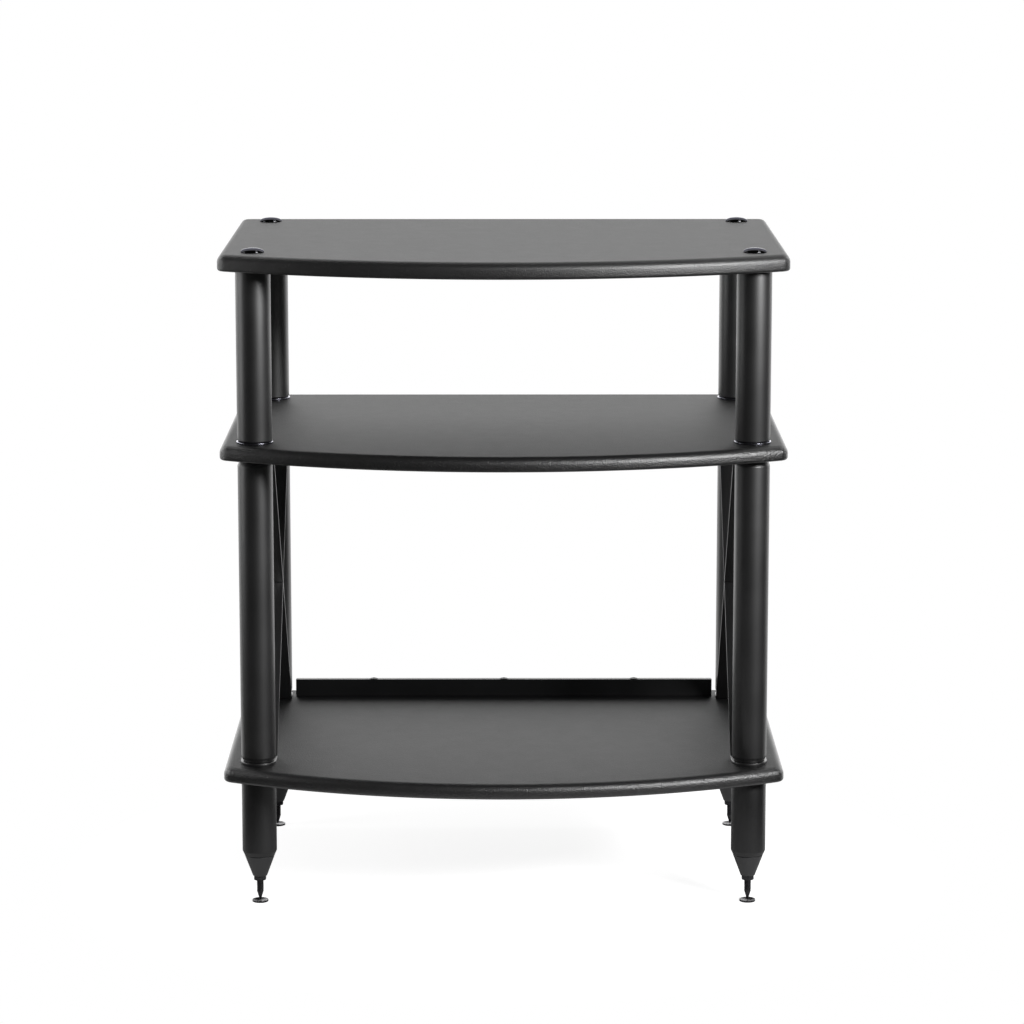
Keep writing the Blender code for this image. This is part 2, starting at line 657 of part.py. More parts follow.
def disc_profile() -> list:
    """Return the half section of a dished floor disc."""
    return [
        (0.0, DISC_FLOOR),
        (DISC_FLOOR_RADIUS, DISC_FLOOR),
        (DISC_RADIUS - DISC_RIM, DISC_THICKNESS),
        (DISC_RADIUS - DISC_CHAMFER, DISC_THICKNESS),
        (DISC_RADIUS, DISC_THICKNESS - DISC_CHAMFER),
        (DISC_RADIUS, DISC_CHAMFER),
        (DISC_RADIUS - DISC_CHAMFER, 0.0),
        (0.0, 0.0),
    ]


def jam_nut_mesh() -> bpy.types.Mesh:
    """Make a thin hexagonal nut blank, from z = 0 up."""
    corner_radius = JAM_NUT_WIDTH / math.sqrt(3)
    return cylinder_mesh("jam_nut", corner_radius, 0.0, JAM_NUT_THICKNESS, 6)


def nut_chamfer_profile() -> list:
    """Return the half section of the turned shape that eases a nut's corners."""
    corner_radius = JAM_NUT_WIDTH / math.sqrt(3)
    reach = corner_radius + CLEARANCE
    inner = JAM_NUT_WIDTH / 2
    rise = JAM_NUT_CHAMFER
    return [
        (0.0, JAM_NUT_THICKNESS),
        (inner, JAM_NUT_THICKNESS),
        (reach, JAM_NUT_THICKNESS - rise),
        (reach, rise),
        (inner, 0.0),
        (0.0, 0.0),
    ]


def add_jam_nut(shop: Workshop, name: str, mesh: bpy.types.Mesh, location: tuple) -> None:
    """Add a jam nut with eased corners and a threaded bore."""
    nut = shop.add_piece(name, mesh, location, "blackened_steel")
    ease = shop.add_cutter(f"{name}_ease", profile_mesh(f"{name}_ease", nut_chamfer_profile(), False), location)
    turn(ease, FOOT_SIDES)
    cut(nut, ease, "INTERSECT")
    bore = cylinder_mesh(f"{name}_bore", THREAD_BORE_RADIUS, -JAM_NUT_THICKNESS, 2 * JAM_NUT_THICKNESS, THREAD_SIDES)
    cut(nut, shop.add_cutter(f"{name}_bore", bore, location))


def add_feet(shop: Workshop) -> None:
    """Add a cone, a jam nut, a spike and a floor disc under each leg."""
    cone = profile_mesh("foot_cone", cone_profile(), closed=True)
    spike = profile_mesh("spike", spike_profile(), closed=False)
    disc = profile_mesh("floor_disc", disc_profile(), closed=False)
    add_at_posts(shop, "foot_cone", cone, CONE_Z, "black_cone", FOOT_SIDES)
    add_at_posts(shop, "spike", spike, SPIKE_TIP_Z, "blackened_steel", THREAD_SIDES)
    add_at_posts(shop, "floor_disc", disc, 0.0, "blackened_steel", FOOT_SIDES)
    nut = jam_nut_mesh()
    for corner, (x, y) in CORNERS.items():
        add_jam_nut(shop, f"jam_nut_{corner}", nut, (x, y, JAM_NUT_Z))


def stop_screw_places() -> list:
    """Return where the record stop's screws stand along X."""
    middle = (STOP_SCREW_COUNT - 1) / 2
    return [STOP_SCREW_SPACING * (index - middle) for index in range(STOP_SCREW_COUNT)]


def stop_screw_cutter(shop: Workshop, name: str) -> bpy.types.Object:
    """Add the clearance holes of the record stop's screws, through the bar and into the shelf."""
    depth = STOP_SCREW_GRIP + CLEARANCE
    mesh = cylinder_mesh(name, STOP_SCREW_RADIUS + CLEARANCE, -depth, 2 * STOP_HEIGHT, SCREW_SIDES)
    cutter = shop.add_cutter(name, mesh, (stop_screw_places()[0], REAR_POST_Y, BOTTOM_SEAT_Z))
    repeat(cutter, "along the bar", STOP_SCREW_COUNT, (STOP_SCREW_SPACING, 0.0, 0.0))
    return cutter


def add_record_stop(shop: Workshop) -> None:
    """Add the low bar between the rear posts that keeps records from sliding off the back."""
    centre_z = BOTTOM_SEAT_Z + CLEARANCE + STOP_HEIGHT / 2
    mesh = box_mesh("record_stop", (STOP_LENGTH, STOP_THICKNESS, STOP_HEIGHT))
    bar = shop.add_piece("record_stop", mesh, (0.0, REAR_POST_Y, centre_z), "black_stop")
    edges = bar.modifiers.new("eased edges", "BEVEL")
    edges.width = STOP_EDGE
    edges.segments = 1
    cut(bar, stop_screw_cutter(shop, "record_stop_holes"))


def add_stop_screws(shop: Workshop) -> None:
    """Add the button headed screws that hold the record stop."""
    profile = dome_points(STOP_SCREW_HEAD_RADIUS, STOP_SCREW_HEAD_HEIGHT, 0.0)
    reach = 2 * CLEARANCE + STOP_HEIGHT + STOP_SCREW_GRIP - CLEARANCE
    profile += [(STOP_SCREW_RADIUS, 0.0), (STOP_SCREW_RADIUS, -reach), (0.0, -reach)]
    mesh = profile_mesh("record_stop_screw", profile, closed=False)
    height = BOTTOM_SEAT_Z + 2 * CLEARANCE + STOP_HEIGHT
    for place, x in zip(("left", "middle", "right"), stop_screw_places()):
        screw = shop.add_piece(f"record_stop_screw_{place}", mesh, (x, REAR_POST_Y, height), "black_stop")
        turn(screw, SCREW_SIDES)


def main() -> None:
    """Build the stand from the floor up."""
    clear_scene()
    shop = Workshop()
    add_feet(shop)
    add_tubes(shop)
    add_post_rings(shop)
    add_studs(shop, "bottom_stud", LEG_Z + LEG_LENGTH, LOWER_POST_Z)
    add_studs(shop, "middle_stud", LOWER_POST_Z + LOWER_POST_LENGTH, UPPER_POST_Z)
    add_shelves(shop)
    add_braces(shop)
    add_record_stop(shop)
    add_stop_screws(shop)
    add_dome_bolts(shop)


if __name__ == "__main__":
    main()
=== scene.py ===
"""Looks of the record player stand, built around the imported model.

The frame gives every piece's place. The visible pieces are modelled again with finer shapes and get
procedural finishes, and the stage is a pale floor, soft light and a camera that looks slightly down from the
front.
"""

import logging
import math
from collections.abc import Callable
from dataclasses import dataclass
from enum import Enum

import bmesh
import bpy
from mathutils import Matrix, Vector


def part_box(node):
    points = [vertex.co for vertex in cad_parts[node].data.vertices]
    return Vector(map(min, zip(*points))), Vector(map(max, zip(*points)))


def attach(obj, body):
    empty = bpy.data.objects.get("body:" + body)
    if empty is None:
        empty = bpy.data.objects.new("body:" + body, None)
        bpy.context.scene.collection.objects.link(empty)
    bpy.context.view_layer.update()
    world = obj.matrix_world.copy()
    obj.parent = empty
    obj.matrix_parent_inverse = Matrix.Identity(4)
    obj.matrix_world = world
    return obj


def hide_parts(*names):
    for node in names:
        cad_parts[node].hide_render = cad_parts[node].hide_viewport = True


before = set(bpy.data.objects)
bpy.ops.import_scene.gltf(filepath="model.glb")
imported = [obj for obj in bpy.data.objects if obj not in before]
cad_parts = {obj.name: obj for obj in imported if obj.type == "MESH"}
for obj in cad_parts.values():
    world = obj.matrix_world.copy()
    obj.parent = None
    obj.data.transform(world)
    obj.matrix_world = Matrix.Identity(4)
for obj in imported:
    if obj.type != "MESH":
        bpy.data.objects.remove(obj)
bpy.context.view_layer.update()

Pair = tuple[float, float]
Triple = tuple[float, float, float]
Section = list[Pair]
Socket = bpy.types.NodeSocket
Shape = bmesh.types.BMesh
EdgeTest = Callable[[Vector], bool]

log = logging.getLogger("record_player_stand")

FRAME_BODY = "stand_frame"
SHARP_ANGLE = math.radians(40.0)
COPLANAR_ANGLE = math.radians(0.4)
MERGE_DISTANCE = 0.000001
COPY_MERGE_DISTANCE = 0.000005
FULL_TURN = 2.0 * math.pi
QUARTER_TURN = math.pi / 2
ORIGIN = (0.0, 0.0, 0.0)
UP = (0.0, 0.0, 1.0)
WHITE = (1.0, 1.0, 1.0, 1.0)


class Corner(Enum):
    """The four posts of the stand."""

    FRONT_LEFT = "front_left"
    FRONT_RIGHT = "front_right"
    REAR_LEFT = "rear_left"
    REAR_RIGHT = "rear_right"


class Slot(Enum):
    """The record's material slot names for the modelled pieces; the script gives no piece one of them."""

    SHELF = "shelf"
    TUBE = "tube"
    RING = "ring"
    BRACE = "brace"
    STOP = "stop"
    BOLT = "bolt"
    CONE = "cone"
    FOOT = "foot"


class Course(Enum):
    """How a value runs between the ends of a range."""

    EVEN = "LINEAR"
    SMOOTH = "SMOOTHSTEP"


class Operation(Enum):
    """How two values are combined."""

    ADD = "ADD"
    MULTIPLY = "MULTIPLY"
    LARGER = "MAXIMUM"


class Graph:
    """A node tree and the small steps that it is made of."""

    def __init__(self, tree: bpy.types.NodeTree) -> None:
        """Keep the tree's nodes and links at hand."""
        self.nodes = tree.nodes
        self.links = tree.links

    def ramp(self, value: Socket, source: Pair, target: Pair, course: Course = Course.EVEN) -> Socket:
        """Map a value's range onto another, held at its ends.

        Args:
            value: The value.
            source: The range that it runs through.
            target: The range that it is mapped onto.
            course: How it runs between the ends.

        Returns:
            The mapped value.
        """
        node = self.nodes.new("ShaderNodeMapRange")
        node.interpolation_type = course.value
        node.inputs["From Min"].default_value, node.inputs["From Max"].default_value = source
        node.inputs["To Min"].default_value, node.inputs["To Max"].default_value = target
        self.links.new(value, node.inputs["Value"])
        return node.outputs["Result"]

    def combined(self, how: Operation, first: Socket, second: Socket) -> Socket:
        """Combine two values.

        Args:
            how: How they are combined.
            first: The first value.
            second: The second value.

        Returns:
            The combined value.
        """
        node = self.nodes.new("ShaderNodeMath")
        node.operation = how.value
        self.links.new(first, node.inputs[0])
        self.links.new(second, node.inputs[1])
        return node.outputs["Value"]

    def mixed(self, factor: Socket, low: float | Socket, high: float | Socket) -> Socket:
        """Choose between two values, each a number or a socket.

        Args:
            factor: 0 for the first value, 1 for the second.
            low: The first value.
            high: The second value.

        Returns:
            The chosen value.
        """
        node = self.nodes.new("ShaderNodeMix")
        node.data_type = "FLOAT"
        self.links.new(factor, node.inputs["Factor"])
        for label, value in (("A", low), ("B", high)):
            if isinstance(value, float):
                node.inputs[label].default_value = value
            else:
                self.links.new(value, node.inputs[label])
        return node.outputs["Result"]

    def seen_directly(self, path: bpy.types.Node) -> Socket:
        """Return 1 for what the camera sees itself or through glass, and 0 for the rest."""
        camera, glass = path.outputs["Is Camera Ray"], path.outputs["Is Transmission Ray"]
        return self.combined(Operation.LARGER, camera, glass)


class Sheet(Graph):
    """The node sheet of one material.

    The pattern range is the part of a noise pattern that is spread over a range of values. The slope range
    runs from a level face to a sloping one, given by the upward part of the face's normal.
    """

    PATTERN_RANGE: Pair = (0.3, 0.7)
    SLOPE_RANGE: Pair = (1.0, 0.6)

    def __init__(
        self,
        name: str,
        colour: Triple,
        roughness: float,
        metallic: float = 0.0,
        gloss: float = 0.5,
        ior: float = 1.5,
    ) -> None:
        """Make the material and set the values that are the same all over.

        Args:
            name: Name of the material.
            colour: Base colour, linear.
            roughness: Roughness.
            metallic: Metallic value.
            gloss: Strength of the reflection from straight ahead.
            ior: Refractive index.
        """
        self.material = bpy.data.materials.new(name)
        self.material.use_nodes = True
        super().__init__(self.material.node_tree)
        self.shader = self.nodes["Principled BSDF"]
        self.shader.inputs["Base Color"].default_value = (*colour, 1.0)
        self.shader.inputs["Roughness"].default_value = roughness
        self.shader.inputs["Metallic"].default_value = metallic
        self.shader.inputs["Specular IOR Level"].default_value = gloss
        self.shader.inputs["IOR"].default_value = ior

    def noise(self, scale: float, detail: float, stretch: Triple = (1.0, 1.0, 1.0)) -> Socket:
        """Add a noise pattern that is fixed to the piece.

        Args:
            scale: Number of spots to the metre.
            detail: Number of finer layers.
            stretch: How much closer the spots stand along each axis.

        Returns:
            The pattern's value.
        """
        place = self.nodes.new("ShaderNodeTexCoord").outputs["Object"]
        mapping = self.nodes.new("ShaderNodeMapping")
        mapping.inputs["Scale"].default_value = stretch
        texture = self.nodes.new("ShaderNodeTexNoise")
        texture.inputs["Scale"].default_value = scale
        texture.inputs["Detail"].default_value = detail
        self.links.new(place, mapping.inputs["Vector"])
        self.links.new(mapping.outputs["Vector"], texture.inputs["Vector"])
        return texture.outputs["Fac"]

    def tint(self, pattern: Socket, low: Triple, high: Triple) -> None:
        """Let the base colour run between two colours with a pattern.

        Args:
            pattern: The pattern.
            low: Colour where the pattern is low.
            high: Colour where it is high.
        """
        ramp = self.nodes.new("ShaderNodeValToRGB")
        for element, place, colour in zip(ramp.color_ramp.elements, self.PATTERN_RANGE, (low, high)):
            element.position = place
            element.color = (*colour, 1.0)
        self.links.new(pattern, ramp.inputs["Fac"])
        self.links.new(ramp.outputs["Color"], self.shader.inputs["Base Color"])

    def vary_roughness(self, pattern: Socket, low: float, high: float, base: Socket | None = None) -> None:
        """Let the roughness run between two values with a pattern.

        Args:
            pattern: The pattern.
            low: Lowest value.
            high: Highest value.
            base: A value that is added to both.
        """
        result = self.ramp(pattern, self.PATTERN_RANGE, (low, high))
        if base:
            result = self.combined(Operation.ADD, result, base)
        self.links.new(result, self.shader.inputs["Roughness"])

    def by_slope(self, flat: float, upright: float) -> Socket:
        """Let a value follow the slope of the surface.

        Args:
            flat: The value on level faces.
            upright: The value on sloping and upright faces.

        Returns:
            The value.
        """
        parts = self.nodes.new("ShaderNodeSeparateXYZ")
        self.links.new(self.nodes.new("ShaderNodeNewGeometry").outputs["Normal"], parts.inputs["Vector"])
        return self.ramp(parts.outputs["Z"], self.SLOPE_RANGE, (flat, upright))

    def relief(self, pattern: Socket, depth: float, strength: float | Socket) -> None:
        """Raise the surface by a pattern, on top of any relief it has.

        Args:
            pattern: The pattern.
            depth: Height of the relief in metres.
            strength: Share of the relief that shows.
        """
        bump = self.nodes.new("ShaderNodeBump")
        if isinstance(strength, float):
            bump.inputs["Strength"].default_value = strength
        else:
            self.links.new(strength, bump.inputs["Strength"])
        bump.inputs["Distance"].default_value = depth
        self.links.new(pattern, bump.inputs["Height"])
        before = self.shader.inputs["Normal"].links
        if before:
            self.links.new(before[0].from_socket, bump.inputs["Normal"])
        self.links.new(bump.outputs["Normal"], self.shader.inputs["Normal"])


@dataclass(frozen=True)
class PebbledSkin:
    """Black skin of the shelves: a fine pebbled relief, and duller on the flats than round the edges."""

    name: str
    edge_roughness: float
    pebbles: float
    pebble_depth: float
    dark: Triple = (0.0052, 0.0052, 0.0054)
    light: Triple = (0.0070, 0.0070, 0.0074)
    clouds: float = 60.0
    flat_roughness: float = 0.60
    spread: float = 0.012
    flat_gloss: float = 0.2
    edge_gloss: float = 1.0
    ior: float = 1.8
    grain: float = 1500.0
    grain_depth: float = 0.00009
    flat_relief: float = 0.5
    edge_relief: float = 1.0

    def material(self) -> bpy.types.Material:
        """Make the skin's material.

        Returns:
            The material.
        """
        sheet = Sheet(self.name, self.light, self.flat_roughness, gloss=self.edge_gloss, ior=self.ior)
        gloss = sheet.by_slope(self.flat_gloss, self.edge_gloss)
        sheet.links.new(gloss, sheet.shader.inputs["Specular IOR Level"])
        cloud = sheet.noise(self.clouds, detail=3.0)
        sheet.tint(cloud, self.dark, self.light)
        base = sheet.by_slope(self.flat_roughness, self.edge_roughness)
        sheet.vary_roughness(cloud, -self.spread, self.spread, base)
        show = sheet.by_slope(self.flat_relief, self.edge_relief)
        sheet.relief(sheet.noise(self.pebbles, detail=2.0), self.pebble_depth, show)
        sheet.relief(sheet.noise(self.grain, detail=1.0), self.grain_depth, show)
        return sheet.material


@dataclass(frozen=True)
class TextureCoat:
    """Satin black coat on metal, with a fine powdery texture."""

    name: str
    dark: Triple = (0.0050, 0.0050, 0.0056)
    light: Triple = (0.0070, 0.0070, 0.0078)
    clouds: float = 22.0
    roughness: float = 0.44
    spread: float = 0.02
    gloss: float = 1.0
    ior: float = 1.8
    grain: float = 2400.0
    grain_depth: float = 0.00003

    def material(self) -> bpy.types.Material:
        """Make the coat's material.

        Returns:
            The material.
        """
        sheet = Sheet(self.name, self.light, self.roughness, gloss=self.gloss, ior=self.ior)
        cloud = sheet.noise(self.clouds, detail=2.0)
        sheet.tint(cloud, self.dark, self.light)
        sheet.vary_roughness(cloud, self.roughness - self.spread, self.roughness + self.spread)
        sheet.relief(sheet.noise(self.grain, detail=1.0), self.grain_depth, strength=1.0)
        return sheet.material


@dataclass(frozen=True)
class BrightMetal:
    """Polished or plated metal with faint streaks of wear."""

    name: str
    dark: Triple
    light: Triple
    roughness: float
    spread: float = 0.05
    streaks: float = 260.0
    streak_stretch: Triple = (1.0, 1.0, 6.0)

    def material(self) -> bpy.types.Material:
        """Make the metal's material.

        Returns:
            The material.
        """
        sheet = Sheet(self.name, self.light, self.roughness, metallic=1.0)
        streak = sheet.noise(self.streaks, detail=2.0, stretch=self.streak_stretch)
        sheet.tint(streak, self.dark, self.light)
        sheet.vary_roughness(streak, self.roughness, self.roughness + self.spread)
        return sheet.material


@dataclass(frozen=True)
class GlossBlack:
    """Glossy black plating of the bolt heads, faintly clouded, with a dimmer reflection near the rim."""

    name: str = "gloss_black_bolt"
    dark: Triple = (0.070, 0.070, 0.074)
    light: Triple = (0.085, 0.085, 0.090)
    rim_tint: Triple = (0.36, 0.36, 0.38)
    clouds: float = 180.0
    roughness: float = 0.07
    spread: float = 0.04

    def material(self) -> bpy.types.Material:
        """Make the plating's material.

        Returns:
            The material.
        """
        sheet = Sheet(self.name, self.dark, self.roughness, metallic=1.0)
        sheet.shader.inputs["Specular Tint"].default_value = (*self.rim_tint, 1.0)
        cloud = sheet.noise(self.clouds, detail=2.0)
        sheet.tint(cloud, self.dark, self.light)
        sheet.vary_roughness(cloud, self.roughness, self.roughness + self.spread)
        return sheet.material


@dataclass(frozen=True)
class BlackenedSteel:
    """Dark plated steel of the nuts, spikes and floor discs."""

    name: str = "blackened_steel"
    dark: Triple = (0.036, 0.036, 0.040)
    light: Triple = (0.080, 0.078, 0.082)
    metallic: float = 0.75
    specks: float = 420.0
    roughness: float = 0.30
    smoother: float = 0.05
    rougher: float = 0.08

    def material(self) -> bpy.types.Material:
        """Make the steel's material.

        Returns:
            The material.
        """
        sheet = Sheet(self.name, self.light, self.roughness, self.metallic)
        speck = sheet.noise(self.specks, detail=3.0)
        sheet.tint(speck, self.dark, self.light)
        sheet.vary_roughness(speck, self.roughness - self.smoother, self.roughness + self.rougher)
        return sheet.material


def turned(section: Section, sides: int, closed: bool) -> Shape:
    """Turn a section about the Z axis.

    Args:
        section: The section's points as (radius, height).
        sides: Number of sides of the full turn.
        closed: Whether the last point joins the first.

    Returns:
        The turned shape.
    """
    bm = bmesh.new()
    verts = [bm.verts.new((radius, 0.0, height)) for radius, height in section]
    edges = [bm.edges.new(pair) for pair in zip(verts, verts[1:])]
    if closed:
        edges.append(bm.edges.new((verts[-1], verts[0])))
    bmesh.ops.spin(
        bm,
        geom=verts + edges,
        cent=ORIGIN,
        axis=UP,
        angle=FULL_TURN,
        steps=sides,
        use_merge=True,
        use_duplicate=False,
    )
    bmesh.ops.remove_doubles(bm, verts=bm.verts, dist=MERGE_DISTANCE)
    bmesh.ops.recalc_face_normals(bm, faces=bm.faces)
    return bm


def ease(bm: Shape, width: float, segments: int, wanted: EdgeTest, angle: float = SHARP_ANGLE) -> None:
    """Round the sharp edges of a shape.

    Args:
        bm: The shape.
        width: Width of the rounding.
        segments: Number of its steps.
        wanted: Says whether an edge, given by its middle, is rounded.
        angle: Smallest angle between an edge's two faces that counts as sharp.
    """
    sharp = [edge for edge in bm.edges if edge.is_manifold and edge.calc_face_angle() > angle]
    picked = [edge for edge in sharp if wanted((edge.verts[0].co + edge.verts[1].co) / 2)]
    bmesh.ops.bevel(
        bm,
        geom=picked,
        offset=width,
        segments=segments,
        profile=0.5,
        affect="EDGES",
        clamp_overlap=True,
        material=-1,
    )


def outside(radius: float) -> EdgeTest:
    """Return a test that picks what lies further than a radius from the Z axis."""
    return lambda place: place.xy.length > radius


def anywhere(_place: Vector) -> bool:
    """Pick every edge."""
    return True


def copied(node: str) -> Shape:
    """Copy a CAD node's shape and join its triangles into whole faces.

    Args:
        node: The CAD node.

    Returns:
        The shape, in place.
    """
    bm = bmesh.new()
    bm.from_mesh(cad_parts[node].data)
    bmesh.ops.remove_doubles(bm, verts=bm.verts, dist=COPY_MERGE_DISTANCE)
    bmesh.ops.dissolve_limit(bm, angle_limit=COPLANAR_ANGLE, verts=bm.verts, edges=bm.edges)
    return bm


def at_node(bm: Shape, node: str) -> Shape:
    """Move a turned shape onto a CAD node's axis and foot.

    Args:
        bm: The shape, made from z = 0 up.
        node: The CAD node.

    Returns:
        The same shape, in place.
    """
    low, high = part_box(node)
    middle = (low + high) / 2
    bmesh.ops.translate(bm, verts=bm.verts, vec=(middle.x, middle.y, low.z))
    return bm


def size_of(node: str) -> Pair:
    """Return a round CAD node's radius and height."""
    low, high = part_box(node)
    return (high.x - low.x) / 2, high.z - low.z


def add_piece(
    name: str, bm: Shape, material: bpy.types.Material, node: str, body: str = FRAME_BODY
) -> None:
    """Turn a shape into a piece that stands for a CAD node.

    Args:
        name: Name of the piece.
        bm: Its shape, in place.
        material: Its finish.
        node: The CAD node that it replaces.
        body: The body that it rides on.
    """
    mesh = bpy.data.meshes.new(name)
    bm.to_mesh(mesh)
    bm.free()
    mesh.shade_smooth()
    mesh.set_sharp_from_angle(angle=SHARP_ANGLE)
    mesh.materials.append(material)
    piece = bpy.data.objects.new(name, mesh)
    bpy.context.scene.collection.objects.link(piece)
    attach(piece, body)
    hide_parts(node)
    log.info("%s: %d faces, stands for %s on %s", name, len(mesh.polygons), node, body)


@dataclass
class Shelves:
    """The three bow-fronted shelves."""

    bow_depth: float = 0.078
    front_corner: float = 0.015
    rear_corner: float = 0.012
    upper_edge: float = 0.009
    upper_edge_steps: int = 8
    lower_edge: float = 0.003
    lower_edge_steps: int = 4
    hole_radius: float = 0.0045
    hole_sides: int = 32
    side_overhang: float = 0.037
    front_overhang: float = 0.103
    rear_overhang: float = 0.035
    bow_steps: int = 120
    corner_steps: int = 12
    flat_margin: float = 0.0008
    flat_angle: float = 0.001

    def outline(self, bm: Shape, low: Vector, high: Vector) -> None:
        """Draw a shelf's outline by spinning a point round each corner and along the bow.

        Args:
            bm: Where the outline is drawn.
            low: Lowest corner of the shelf's box.
            high: Highest corner of the shelf's box.
        """
        half = high.x
        bow = (half**2 + self.bow_depth**2) / (2 * self.bow_depth)
        bow_y = low.y + bow
        reach = bow - self.front_corner
        fillet_x = half - self.front_corner
        fillet_y = bow_y - math.sqrt(reach**2 - fillet_x**2)
        spread = math.asin(fillet_x / reach)
        rear_x, rear_y = half - self.rear_corner, high.y - self.rear_corner
        start = bm.verts.new((half, rear_y, low.z))
        arcs = (
            ((rear_x, rear_y), QUARTER_TURN, self.corner_steps, (-rear_x, high.y)),
            ((-rear_x, rear_y), QUARTER_TURN, self.corner_steps, (-half, fillet_y)),
            ((-fillet_x, fillet_y), QUARTER_TURN - spread, self.corner_steps, None),
            ((0.0, bow_y), 2 * spread, self.bow_steps, None),
            ((fillet_x, fillet_y), QUARTER_TURN - spread, self.corner_steps, None),
        )
        point = start
        for centre, angle, steps, onward in arcs:
            swept = bmesh.ops.spin(
                bm,
                geom=[point],
                cent=(*centre, low.z),
                axis=UP,
                angle=angle,
                steps=steps,
                use_duplicate=False,
            )
            point = swept["geom_last"][0]
            if onward:
                following = bm.verts.new((*onward, low.z))
                bm.edges.new((point, following))
                point = following
        bm.edges.new((point, start))

    def hole_places(self, low: Vector, high: Vector) -> list[Vector]:
        """Work out where the four holes are.

        Args:
            low: Lowest corner of the shelf's box.
            high: Highest corner of the shelf's box.

        Returns:
            Their middles in plan.
        """
        across = high.x - self.side_overhang
        rows = (low.y + self.front_overhang, high.y - self.rear_overhang)
        return [Vector((x, y)) for x in (-across, across) for y in rows]

    def holes(self, bm: Shape, low: Vector, high: Vector) -> None:
        """Draw the four holes that the studs and bolts pass through.

        Args:
            bm: Where the holes are drawn.
            low: Lowest corner of the shelf's box.
            high: Highest corner of the shelf's box.
        """
        for spot in self.hole_places(low, high):
            bmesh.ops.create_circle(
                bm,
                cap_ends=False,
                segments=self.hole_sides,
                radius=self.hole_radius,
                matrix=Matrix.Translation((*spot, low.z)),
            )

    def panel(self, node: str) -> Shape:
        """Model a shelf: flat faces with holes, a full round above the rim and a small one below.

        Args:
            node: The CAD node that gives its size and place.

        Returns:
            The shape, in place.
        """
        low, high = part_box(node)
        bm = bmesh.new()
        self.outline(bm, low, high)
        self.holes(bm, low, high)
        bmesh.ops.triangle_fill(bm, use_beauty=True, edges=list(bm.edges))
        bmesh.ops.dissolve_limit(bm, angle_limit=self.flat_angle, verts=bm.verts, edges=bm.edges)
        raised = bmesh.ops.extrude_face_region(bm, geom=list(bm.faces))
        top = [item for item in raised["geom"] if isinstance(item, bmesh.types.BMVert)]
        bmesh.ops.translate(bm, verts=top, vec=(0.0, 0.0, high.z - low.z))
        bmesh.ops.recalc_face_normals(bm, faces=bm.faces)
        ease(bm, self.upper_edge, self.upper_edge_steps, self.on_rim(high.z, low, high))
        ease(bm, self.lower_edge, self.lower_edge_steps, self.on_rim(low.z, low, high))
        for level in (low.z, high.z):
            flats = [face for face in bm.faces if self.lies_at(face, level)]
            bmesh.ops.inset_region(bm, faces=flats, thickness=self.flat_margin, use_even_offset=True)
        return bm

    @staticmethod
    def lies_at(face: bmesh.types.BMFace, level: float) -> bool:
        """Say whether a face lies flat at a height."""
        return all(abs(vert.co.z - level) < MERGE_DISTANCE for vert in face.verts)

    def on_rim(self, height: float, low: Vector, high: Vector) -> EdgeTest:
        """Return a test that picks rim edges at a height, away from the holes.

        Args:
            height: The height.
            low: Lowest corner of the shelf's box.
            high: Highest corner of the shelf's box.

        Returns:
            The test.
        """
        places = self.hole_places(low, high)

        def test(place: Vector) -> bool:
            """Say whether an edge's middle is at the height and clear of the holes."""
            clear = all((place.xy - hole).length > 2 * self.hole_radius for hole in places)
            return clear and abs(place.z - height) < MERGE_DISTANCE

        return test

    def build(self) -> None:
        """Add the three shelves."""
        skins = (
            PebbledSkin("pebbled_skin_top", edge_roughness=0.43, pebbles=700.0, pebble_depth=0.00042),
            PebbledSkin("pebbled_skin_middle", edge_roughness=0.38, pebbles=590.0, pebble_depth=0.00062),
            PebbledSkin("pebbled_skin_bottom", edge_roughness=0.39, pebbles=610.0, pebble_depth=0.00058),
        )
        for level, skin in zip(("top", "middle", "bottom"), skins):
            panel = self.panel(f"{level}_shelf")
            add_piece(f"{level}_shelf_panel", panel, skin.material(), f"{level}_shelf")


@dataclass
class Posts:
    """The tubes between the shelves and under them, each with its plugs.

    A chamfer is given as (radial, axial).
    """

    wall: float = 0.003
    thread_bore: float = 0.0043
    plug: float = 0.016
    fine_chamfer: Pair = (0.001, 0.001)
    deep_chamfer: Pair = (0.00225, 0.005)
    sides: int = 96
    rounding: float = 0.0006
    rounding_steps: int = 4
    rounded_angle: float = math.radians(15.0)

    def tube(self, node: str, foot: Pair, head: Pair, foot_plug: bool) -> Shape:
        """Model a tube with its plugs.

        Args:
            node: The CAD node that gives its size and place.
            foot: Its lower chamfer.
            head: Its upper chamfer.
            foot_plug: Whether its foot is plugged too.

        Returns:
            The shape, in place.
        """
        radius, length = size_of(node)
        bore = radius - self.wall
        section = [
            (radius - head[0], length),
            (radius, length - head[1]),
            (radius, foot[1]),
            (radius - foot[0], 0.0),
        ]
        if foot_plug:
            section += [(self.thread_bore, 0.0), (self.thread_bore, self.plug), (bore, self.plug)]
        else:
            section.append((bore, 0.0))
        inner_end = length - self.plug
        section += [(bore, inner_end), (self.thread_bore, inner_end), (self.thread_bore, length)]
        bm = turned(section, self.sides, closed=True)
        ease(bm, self.rounding, self.rounding_steps, outside(bore + MERGE_DISTANCE), self.rounded_angle)
        return at_node(bm, node)

    def build(self) -> None:
        """Add the legs, the lower posts and the upper posts."""
        coat = TextureCoat("satin_black_tube").material()
        leg_coat = TextureCoat("satin_black_leg", gloss=0.5).material()
        for corner in Corner:
            for label, foot, head, plugged, finish in (
                ("leg", self.deep_chamfer, self.fine_chamfer, False, leg_coat),
                ("lower_post", self.deep_chamfer, self.deep_chamfer, True, coat),
                ("upper_post", self.fine_chamfer, self.fine_chamfer, True, coat),
            ):
                node = f"{label}_{corner.value}"
                add_piece(f"{node}_tube", self.tube(node, foot, head, plugged), finish, node)


